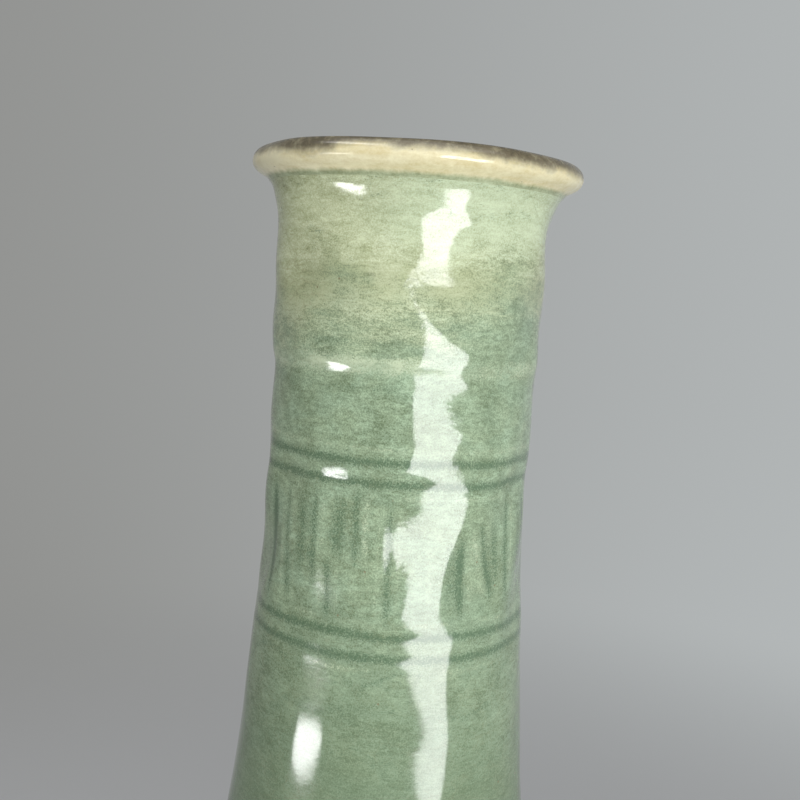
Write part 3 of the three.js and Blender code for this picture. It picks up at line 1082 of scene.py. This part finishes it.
    def _wave_depth(self) -> Wire:
        """Waves of the thrown wall.

        Returns:
            Their depth in metres.
        """
        angle, height = self._polar()
        crest = sum(wave.amplitude for wave in self.uneven.soft.waves()) * MM
        depth = height.step(*self.uneven.belly) * crest
        for kind in (self.uneven.soft, *self.uneven.strong):
            share = height.step(*kind.come) * height.step(*kind.go) * MM
            for wave in kind.waves():
                course = angle * float(wave.turns) + height * wave.rise_rate + wave.phase
                depth = depth + self.board.math("COSINE", course) * share * wave.amplitude
        return depth

    def _cut(self, name: str) -> tuple[Wire, Wire]:
        """Nearest cut, with the burr that the blade turns up beside it.

        Args:
            name: The tree's input that holds the cuts.

        Returns:
            The cut's depth in metres and its tint.
        """
        board = self.board
        carving = self.carving
        cuts = {"Object": board.out(self.given, name)}
        lines = board.wire("GeometryNodeObjectInfo", {"transform_space": "ORIGINAL"}, cuts, "Geometry")
        distance = board.wire("GeometryNodeProximity", {"target_element": "EDGES"}, {0: lines}, "Distance")
        index = board.wire("GeometryNodeSampleNearest", {"domain": "POINT"}, {"Geometry": lines})
        names = ("depth", "half_width", "tint")
        depth, half_width, tint = (self._sampled(lines, index, self._named(value)) for value in names)
        share = distance.step(0.0, half_width, 1.0, 0.0)
        crest = half_width * carving.burr_crest
        burr = distance.step(half_width * carving.burr_start, crest)
        burr = burr * distance.step(half_width * carving.burr_end, crest)
        return depth * share, tint * (share - burr * carving.burr)


def line_object(kind: CutKind, lines: Iterable[CarvedLine], outline: Outline) -> bpy.types.Object:
    """Carved lines as edges that carry their depth, half width and tint.

    Args:
        kind: Which cuts they are.
        lines: The lines.
        outline: The wall that they lie on.

    Returns:
        An object for the turning tree.
    """
    points: list[Vector] = []
    edges: list[tuple[int, int]] = []
    values: dict[str, list[float]] = {"depth": [], "half_width": [], "tint": []}
    for line in lines:
        first = len(points)
        for place, strength in line.points(outline):
            points.append(place)
            values["depth"].append(line.blade.depth * strength * MM)
            values["half_width"].append(line.blade.half_width * MM)
            values["tint"].append(line.blade.tint * strength)
        edges += [(i, i + 1) for i in range(first, len(points) - 1)]
    mesh = bpy.data.meshes.new(kind.value)
    mesh.from_pydata(points, edges, [])
    for name, numbers in values.items():
        mesh.attributes.new(name, "FLOAT", "POINT").data.foreach_set("value", numbers)
    return link(bpy.data.objects.new(kind.value, mesh))


@dataclass
class VasePiece:
    """A turned piece that stands for one solid of the frame; sizes are in millimetres."""

    name: str
    node: str
    slot: str
    columns: int
    wobble: float = 0.0
    outline: Outline = Outline()

    def profile(self) -> list[ProfilePoint]:
        """The closed profile, up the outside and down the inside."""
        raise NotImplementedError

    def build(
        self, tree: TurningTree, finish: bpy.types.Material, cuts: Mapping[CutKind, bpy.types.Object]
    ) -> bpy.types.Object:
        """Turn the piece, dress it and set it on the frame.

        Args:
            tree: The turning tree.
            finish: The piece's material.
            cuts: The carved lines.

        Returns:
            The finished piece.
        """
        values = {
            "Columns": self.columns,
            "Lines": cuts[CutKind.LINE],
            "Flutes": cuts[CutKind.FLUTE],
            "Wobble": self.wobble,
            "Finish": finish,
        }
        piece = tree.turn(self.name, self.profile(), values)
        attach(piece, "root")
        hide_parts(self.node)
        log.info("%s: %d faces", piece.name, len(piece.data.polygons))
        return piece


@dataclass
class CeladonCoat(VasePiece):
    """Celadon over the outside, from the glaze line on the foot up to the lip."""

    name: str = "celadon_coat"
    node: str = "outer_glaze"
    slot: str = "celadon_glaze"
    columns: int = 320
    wobble: float = 1.0
    thickness: float = 0.88
    carved_from: float = 144.0
    foot_spacing: float = 1.6
    body_spacing: float = 2.3
    fine_spacing: float = 0.42
    back_spacing: float = 9.0

    def profile(self) -> list[ProfilePoint]:
        """Up the outside, closely spaced where the neck is carved, and down the back of the coat.

        Returns:
            The closed profile.
        """
        outline = self.outline
        foot, top = outline.stations[0], outline.stations[-1].height
        heights = spread(outline.glaze_line, foot.height, self.foot_spacing)
        heights += spread(foot.height, self.carved_from, self.body_spacing)[1:]
        heights += spread(self.carved_from, top, self.fine_spacing)[1:]
        front = [ProfilePoint(*outline.outside(height), 1.0) for height in heights]
        behind = spread(top, foot.height, self.back_spacing)
        back = [ProfilePoint(*outline.outside(height, self.thickness)) for height in behind]
        back.append(ProfilePoint(foot.radius - self.thickness, outline.glaze_line))
        return front + back + front[:1]


@dataclass
class LipCoat(VasePiece):
    """Cream glaze round the lip, from its underside over the crown."""

    name: str = "lip_coat"
    node: str = "lip_glaze"
    slot: str = "cream_glaze"
    columns: int = 256
    wobble: float = 1.0
    thickness: float = 0.6
    overlap: float = 0.03
    tuck: float = 0.6
    feather: Span = (0.7, 0.4)
    steps: int = 14
    inner_end: float = 232.6

    def profile(self) -> list[ProfilePoint]:
        """Round the lip, then back at the coat's thickness.

        Returns:
            The closed profile.
        """
        outside = self.outline.outside
        underside, shoulder, funnel = self.outline.lip(self.steps)
        root = self.outline.stations[-1].height
        front = [outside(root - 2.0 * self.tuck, 0.5 * self.thickness)]
        front.append(outside(root - self.tuck, self.overlap))
        front += [outside(root - share * self.tuck, -self.overlap) for share in self.feather]
        front += [(radius + self.overlap, height) for radius, height in underside]
        front += shoulder[1:] + [point for point in funnel[1:] if point[1] > self.inner_end]
        back = [self._inset(front, i) for i in range(len(front))]
        return [ProfilePoint(*point) for point in front + back[::-1] + front[:1]]

    def _inset(self, line: Sequence[Point], i: int) -> Point:
        """Move a point into the clay by the coat's thickness.

        Args:
            line: The line that it lies on.
            i: Its number there.

        Returns:
            The moved point.
        """
        before, after = line[max(0, i - 1)], line[min(len(line) - 1, i + 1)]
        run, rise = after[0] - before[0], after[1] - before[1]
        length = math.hypot(run, rise)
        radius, height = line[i]
        return radius - self.thickness * rise / length, height + self.thickness * run / length


@dataclass
class InnerCoat(VasePiece):
    """Celadon inside, from below the lip to the middle of the floor.

    The bends of the cove at the floor are runs in from the wall and shares of the cove's height.
    """

    name: str = "inner_coat"
    node: str = "inner_glaze"
    slot: str = "celadon_glaze"
    columns: int = 128
    wobble: float = 1.0
    thickness: float = 0.6
    steps: int = 14
    spacing: float = 3.0
    start: float = 233.3
    cove: float = 4.6
    cove_bends: tuple[Point, ...] = ((0.9, 0.45), (2.6, 0.14), (5.2, 0.0))

    def profile(self) -> list[ProfilePoint]:
        """Up the back of the coat, then down its glossy side."""
        return [ProfilePoint(*point) for point in self._line(self.thickness)[::-1] + self._line(0.0)]

    def _line(self, depth: float) -> list[Point]:
        """From the mouth down the bore and across the floor.

        Args:
            depth: How far into the wall the line lies.

        Returns:
            The line's points.
        """
        outline = self.outline
        funnel = [point for point in outline.lip(self.steps)[2] if point[1] < self.start]
        line = [(radius + depth, height) for radius, height in funnel]
        bottom = outline.floor - depth
        bore = spread(outline.bore_start, bottom + self.cove, self.spacing)[1:]
        line += [outline.inside(height, depth) for height in bore]
        wall = line[-1][0]
        line += [(wall - run, bottom + share * self.cove) for run, share in self.cove_bends]
        return line + [(0.0, bottom)]


@dataclass
class FootRing(VasePiece):
    """Ring foot of bare clay, wiped clean of glaze at its edge."""

    name: str = "bare_foot"
    node: str = "foot_ring"
    slot: str = "foot_clay"
    columns: int = 160
    outer: float = 32.3
    inner: float = 26.7
    top: float = 7.6
    chamfer: float = 1.2
    chamfer_bulge: Point = (0.45, 0.3)
    inner_chamfer: float = 0.6

    def profile(self) -> list[ProfilePoint]:
        """Round the section of the ring.

        Returns:
            The closed profile.
        """
        inward, upward = self.chamfer_bulge
        section = [
            (self.outer - self.chamfer, 0.0),
            (self.outer - inward * self.chamfer, upward * self.chamfer),
            (self.outer, self.chamfer),
            (self.outer, self.top),
            (self.inner, self.top),
            (self.inner, self.inner_chamfer),
            (self.inner + self.inner_chamfer, 0.0),
        ]
        return [ProfilePoint(*point) for point in section + section[:1]]


@dataclass
class BaseCoat(VasePiece):
    """Celadon in the recess under the foot."""

    name: str = "base_coat"
    node: str = "base_glaze"
    slot: str = "celadon_glaze"
    columns: int = 96
    low: float = 8.1
    high: float = 8.7
    radius: float = 26.4
    dome: float = 0.2
    rings: int = 4

    def profile(self) -> list[ProfilePoint]:
        """A thin disc, a little domed towards its middle.

        Returns:
            The profile, from the axis and back to it.
        """
        shares = [i / self.rings for i in range(self.rings + 1)]
        section = [(self.radius * share, self.low + self.dome * (1 - share * share)) for share in shares]
        section += [(self.radius, self.high), (0.0, self.high)]
        return [ProfilePoint(*point) for point in section]


@dataclass(frozen=True)
class HiddenClay:
    """The clay sections and the slip in their seams, which the coats cover."""

    clay: ClayFinish = ClayFinish("stoneware_clay", rgb(0.48, 0.41, 0.31), rgb(0.36, 0.28, 0.19))
    slip: ClayFinish = ClayFinish(
        "luting_slip", rgb(0.58, 0.51, 0.40), rgb(0.47, 0.39, 0.28), Mottle(0.3, 2.0, 0.7)
    )

    def dress(self) -> None:
        """Give the frame's own meshes of clay and slip their finishes."""
        clay = self.clay.material()
        slip = self.slip.material()
        for name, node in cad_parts.items():
            if name.endswith("_section") or name == "base_disc":
                finish = clay
            elif name.endswith("_slip"):
                finish = slip
            else:
                continue
            node.data.materials.clear()
            node.data.materials.append(finish)
            log.info("%s: dressed as %s", name, finish.name)


class PanelShape(Enum):
    """Shapes of a soft lamp, each with its area's share of width times depth."""

    RECTANGLE = 1.0
    ELLIPSE = math.pi / 4


@dataclass(frozen=True)
class SoftPanel:
    """A soft lamp that the camera does not see, placed by its bearing from the vase; sizes are in metres."""

    name: str
    bearing: float
    distance: float
    height: float
    aim_height: float
    width: float
    depth: float
    radiance: float
    shape: PanelShape = PanelShape.RECTANGLE
    spin: float = 0.0
    vase_only: bool = False

    def place(self, pieces: bpy.types.Collection) -> bpy.types.Object:
        """Put the lamp in the scene.

        Args:
            pieces: The vase's pieces, for a lamp that is kept off the floor.

        Returns:
            The lamp.
        """
        data = bpy.data.lights.new(self.name, "AREA")
        data.shape = self.shape.name
        data.size, data.size_y = self.width, self.depth
        data.energy = self.radiance * math.pi * (self.width * self.depth * self.shape.value)
        lamp = link(bpy.data.objects.new(self.name, data))
        bearing = math.radians(self.bearing)
        place = Vector((self.distance * math.sin(bearing), -self.distance * math.cos(bearing), self.height))
        aim = (Vector((0.0, 0.0, self.aim_height)) - place).to_track_quat("-Z", "Y")
        turn = Matrix.Rotation(math.radians(self.spin), 4, "Z")
        lamp.matrix_world = Matrix.Translation(place) @ aim.to_matrix().to_4x4() @ turn
        lamp.visible_camera = False
        if self.vase_only:
            lamp.light_linking.receiver_collection = pieces
        return lamp


@dataclass(frozen=True)
class Studio:
    """Pale seamless floor, soft lamps and the camera at the photograph's angle; sizes are in metres."""

    floor_colour: Colour = rgb(0.66, 0.67, 0.68)
    # Painted light on the far glow: darker to the viewer's left and lighter to the right.
    painted_shade_left: Colour = rgb(0.262, 0.262, 0.252)
    painted_light_right: Colour = rgb(0.470, 0.495, 0.50)
    far_reach: Span = (0.16, 0.55)
    painted_light_turn: Span = (-0.8, 0.8)
    air: Colour = rgb(1.0, 1.0, 1.0)
    ambient: float = 0.18
    radius: float = 2.4
    rise: float = 1.8
    cove: float = 0.6
    cove_steps: int = 8
    near_rings: Span = (0.15, 0.4)
    floor_columns: int = 96
    camera_place: tuple[float, float, float] = (-0.00034, -0.1693, 0.2154)
    camera_pitch: float = -6.64
    camera_roll: float = 3.76
    lens_mm: float = 45.0
    sensor_mm: float = 36.0
    nearest: float = 0.01
    panels: tuple[SoftPanel, ...] = (
        SoftPanel("overhead_softbox", -20.0, 0.3, 1.3, 0.1, 1.2, 1.2, 1.15),
        SoftPanel("front_fill", -10.0, 0.9, 0.55, 0.15, 0.7, 0.7, 0.82),
        SoftPanel("left_rim_panel", -52.0, 0.28, 0.55, 0.2, 0.24, 0.08, 6.0),
        SoftPanel("right_rim_panel", 50.0, 0.28, 0.55, 0.2, 0.28, 0.08, 2.7),
        SoftPanel("right_softbox", 29.8, 0.35, 0.124, 0.17, 0.28, 0.151, 8.6, spin=-19.5, vase_only=True),
        SoftPanel(
            "left_lamp", -56.1, 0.357, 0.0395, 0.17, 0.1634, 0.0287, 16.0, PanelShape.ELLIPSE, vase_only=True
        ),
    )

    def build(self, pieces: bpy.types.Collection) -> None:
        """Set up floor, world, lamps, camera and view transform.

        Args:
            pieces: The vase's pieces.
        """
        bpy.context.scene.view_settings.view_transform = "Standard"
        self._floor()
        self._world()
        for panel in self.panels:
            panel.place(pieces)
        self._camera()

    def _floor(self) -> None:
        """Make a floor that curves up into a wall all round."""
        flat = self.radius - self.cove
        section = [(reach, 0.0) for reach in (*self.near_rings, flat)]
        for i in range(1, self.cove_steps + 1):
            turn = 0.5 * math.pi * i / self.cove_steps
            section.append((flat + self.cove * math.sin(turn), self.cove * (1.0 - math.cos(turn))))
        section.append((self.radius, self.rise))
        count = self.floor_columns
        turns = [TURN * k / count for k in range(count)]
        points = [(r * math.cos(turn), r * math.sin(turn), z) for r, z in section for turn in turns]
        middle = len(points)
        points.append((0.0, 0.0, 0.0))
        faces: list[tuple[int, ...]] = [(middle, k, (k + 1) % count) for k in range(count)]
        for ring in range(len(section) - 1):
            a, b = ring * count, (ring + 1) * count
            faces += [(a + k, b + k, b + (k + 1) % count, a + (k + 1) % count) for k in range(count)]
        mesh = bpy.data.meshes.new("floor")
        mesh.from_pydata(points, [], faces)
        mesh.polygons.foreach_set("use_smooth", [True] * len(faces))
        mesh.materials.append(self._floor_material())
        link(bpy.data.objects.new("floor", mesh))

    def _floor_material(self) -> bpy.types.Material:
        """Matt near the vase, for the shadow; further off a grey glow, painted darker left and lighter right.

        Returns:
            The material.
        """
        board = SurfaceBoard("seamless_paper")
        x, y, z = board.parts(board.place)
        reach = board.math("SQRT", x * x + y * y)
        path = board.node("ShaderNodeLightPath")
        rays = ("Is Camera Ray", "Is Glossy Ray", "Is Transmission Ray")
        camera, glossy, through = (board.out(path, ray) for ray in rays)
        seen = board.math("MINIMUM", camera + glossy + through, 1.0)
        far = (reach + z).step(*self.far_reach) * seen
        # Painted light: the glow grades from dark on the left to light on the right.
        backdrop = board.mix((x / reach).step(*self.painted_light_turn), self.painted_shade_left, self.painted_light_right)
        matt = board.wire("ShaderNodeBsdfDiffuse", None, {"Color": self.floor_colour})
        glow = board.wire("ShaderNodeEmission", None, {"Color": backdrop})
        return board.close(board.wire("ShaderNodeMixShader", None, {0: far, 1: matt, 2: glow}))

    def _world(self) -> None:
        """Fill the room with even soft light."""
        world = bpy.data.worlds.new("studio_air")
        world.use_nodes = True
        board = Board(world.node_tree)
        board.tree.nodes.clear()
        air = board.wire("ShaderNodeBackground", None, {"Color": self.air, "Strength": self.ambient})
        board.node("ShaderNodeOutputWorld", None, {"Surface": air})
        bpy.context.scene.world = world

    def _camera(self) -> None:
        """Place the camera close to the neck and a little rolled."""
        data = bpy.data.cameras.new("camera")
        data.lens = self.lens_mm
        data.sensor_width = self.sensor_mm
        data.clip_start = self.nearest
        camera = link(bpy.data.objects.new("camera", data))
        pitch = math.radians(self.camera_pitch)
        ahead = Vector((0.0, math.cos(pitch), math.sin(pitch)))
        aim = ahead.to_track_quat("-Z", "Y").to_matrix().to_4x4()
        roll = Matrix.Rotation(math.radians(self.camera_roll), 4, "Z")
        camera.matrix_world = Matrix.Translation(self.camera_place) @ aim @ roll
        bpy.context.scene.camera = camera


def main() -> None:
    """Build the pieces and the studio."""
    carving = Carving()
    tree = TurningTree(Unevenness(), carving)
    cuts = {kind: line_object(kind, carving.cuts(kind), Outline()) for kind in CutKind}
    celadon = CeladonFinish().material()
    cream = CreamFinish().material()
    bare = ClayFinish("bare_foot_clay", rgb(0.40, 0.21, 0.10), rgb(0.22, 0.10, 0.045)).material()
    pieces = bpy.data.collections.new("vase_pieces")
    for piece, finish in (
        (CeladonCoat(), celadon),
        (LipCoat(), cream),
        (InnerCoat(), celadon),
        (FootRing(), bare),
        (BaseCoat(), celadon),
    ):
        pieces.objects.link(piece.build(tree, finish, cuts))
    for cut in cuts.values():
        bpy.data.objects.remove(cut)
    HiddenClay().dress()
    Studio().build(pieces)


if __name__ == "__main__":
    main()
